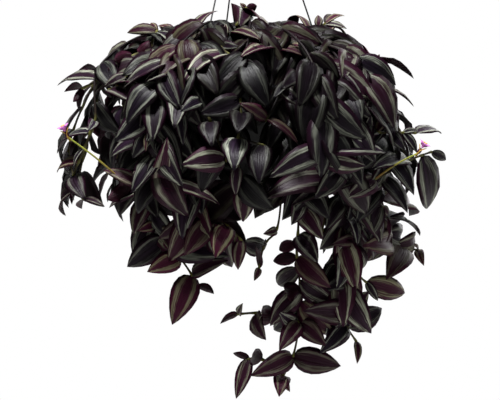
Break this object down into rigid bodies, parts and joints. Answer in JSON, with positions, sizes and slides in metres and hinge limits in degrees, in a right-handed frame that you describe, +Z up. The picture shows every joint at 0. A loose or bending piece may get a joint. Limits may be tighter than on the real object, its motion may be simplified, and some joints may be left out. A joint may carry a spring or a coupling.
{
  "type": "potted tradescantia",
  "caption": "Trailing striped tradescantia with pink flowers in a plain round hanging pot, on a wire hanger with a hook.",
  "frame": {"origin": "inner crest of the hook, where the part hangs", "axes": "+Z up, +X to the right of the front, -Y towards the front"},
  "size_m": [0.4404, 0.4089, 0.6546],
  "materials": {
    "pot": "plain moulded black plastic",
    "soil": null,
    "hanger": "black coated wire",
    "foliage": null,
    "petals": null
  },
  "bodies": {
    "root": {"flower_petals_left_dome": "petals", "flower_petals_lower_right_dome": "petals", "hanger_hook": "hanger", "hanger_wire_back": "hanger", "hanger_wire_front_left": "hanger", "hanger_wire_right": "hanger", "leafy_stem_back_1": "foliage", "leafy_stem_back_10": "foliage", "leafy_stem_back_11": "foliage", "leafy_stem_back_2": "foliage", "leafy_stem_back_3": "foliage", "leafy_stem_back_4": "foliage", "leafy_stem_back_5": "foliage", "leafy_stem_back_6": "foliage", "leafy_stem_back_7": "foliage", "leafy_stem_back_8": "foliage", "leafy_stem_back_9": "foliage", "leafy_stem_centre_front": "foliage", "leafy_stem_centre_high": "foliage", "leafy_stem_centre_left": "foliage", "leafy_stem_crown_1": "foliage", "leafy_stem_crown_2": "foliage", "leafy_stem_crown_3": "foliage", "leafy_stem_crown_4": "foliage", "leafy_stem_crown_5": "foliage", "leafy_stem_far_left": "foliage", "leafy_stem_far_left_upper": "foliage", "leafy_stem_inner_1": "foliage", "leafy_stem_inner_2": "foliage", "leafy_stem_inner_3": "foliage", "leafy_stem_inner_4": "foliage", "leafy_stem_inner_5": "foliage", "leafy_stem_inner_6": "foliage", "leafy_stem_left_centre": "foliage", "leafy_stem_left_dome": "foliage", "leafy_stem_left_dome_shoot": "foliage", "leafy_stem_left_shoulder": "foliage", "leafy_stem_left_trail": "foliage", "leafy_stem_left_trail_inner": "foliage", "leafy_stem_lower_right_dome": "foliage", "leafy_stem_right_dome": "foliage", "leafy_stem_right_shoulder": "foliage", "leafy_stem_right_side": "foliage", "leafy_stem_right_upper_side": "foliage", "leafy_stem_top_centre": "foliage", "leafy_stem_top_left": "foliage", "leafy_stem_trail_far_right": "foliage", "leafy_stem_trail_long": "foliage", "leafy_stem_trail_right": "foliage", "leafy_stem_trail_right_upper": "foliage", "leafy_stem_trail_small": "foliage", "leafy_stem_upper_centre": "foliage", "leafy_stem_upper_centre_shoot": "foliage", "leafy_stem_upper_left_dome": "foliage", "leafy_stem_upper_left_shoot": "foliage", "leafy_stem_upper_right": "foliage", "pot": "pot", "soil": "soil"}
  },
  "joints": []
}
